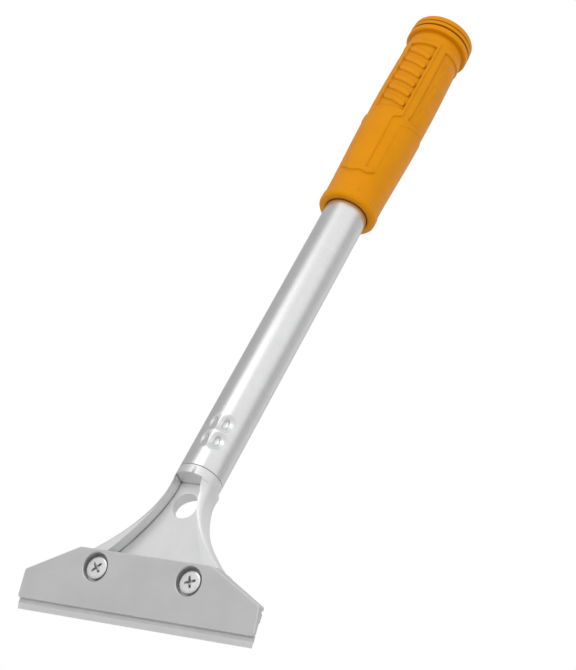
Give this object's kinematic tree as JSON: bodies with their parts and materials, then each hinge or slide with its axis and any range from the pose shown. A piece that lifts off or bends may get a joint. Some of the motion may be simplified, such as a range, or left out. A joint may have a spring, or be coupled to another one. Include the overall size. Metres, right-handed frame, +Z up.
{
  "type": "floor scraper",
  "caption": "Long-handled floor scraper: flared cast head with a wedge clamp plate over a straight blade, round tube handle and moulded grip.",
  "frame": {"origin": "middle of the blade's cutting edge, on the blade's back face", "axes": "+X along the cutting edge to the right, +Y backwards out of the blade towards the side the handle leans to, +Z up the flat blade"},
  "size_m": [0.0998, 0.0947, 0.29],
  "materials": {
    "cast_aluminium": "satin",
    "plate_aluminium": "satin",
    "tube_aluminium": "satin",
    "blade_steel": "ground",
    "zinc_steel": "bright",
    "orange_grip": "satin"
  },
  "bodies": {
    "handle": {"scraper_head": "cast_aluminium", "handle_tube": "tube_aluminium", "grip": "orange_grip", "end_plug": "orange_grip"},
    "clamp": {"clamp_plate": "plate_aluminium"},
    "screw_left": {"clamp_screw_left": "zinc_steel"},
    "screw_right": {"clamp_screw_right": "zinc_steel"},
    "loose_blade": {"blade": "blade_steel"}
  },
  "joints": [
    {"name": "clamp_lift", "type": "slide", "parent": "handle", "child": "clamp", "axis": [0, -1, 0], "range_m": [0, 0.0021]},
    {"name": "screw_left_turn", "type": "hinge", "parent": "clamp", "child": "screw_left", "pos_m": [-0.01975, 0, 0.01824], "axis": [0, -1, 0], "range_deg": [0, 1081]},
    {"name": "screw_right_turn", "type": "hinge", "parent": "clamp", "child": "screw_right", "pos_m": [0.01975, 0, 0.01824], "axis": [0, -1, 0], "range_deg": [0, 1081]},
    {"name": "blade_lift", "type": "slide", "parent": "handle", "child": "loose_blade", "axis": [0, -1, 0], "range_m": [0, 0.0011]}
  ],
  "couplings": [
    {"joint": "screw_left_turn", "follows": "clamp_lift", "rad_per_m": 8976},
    {"joint": "screw_right_turn", "follows": "clamp_lift", "rad_per_m": 8976},
    {"joint": "blade_lift", "follows": "clamp_lift", "ratio": 0.5}
  ]
}
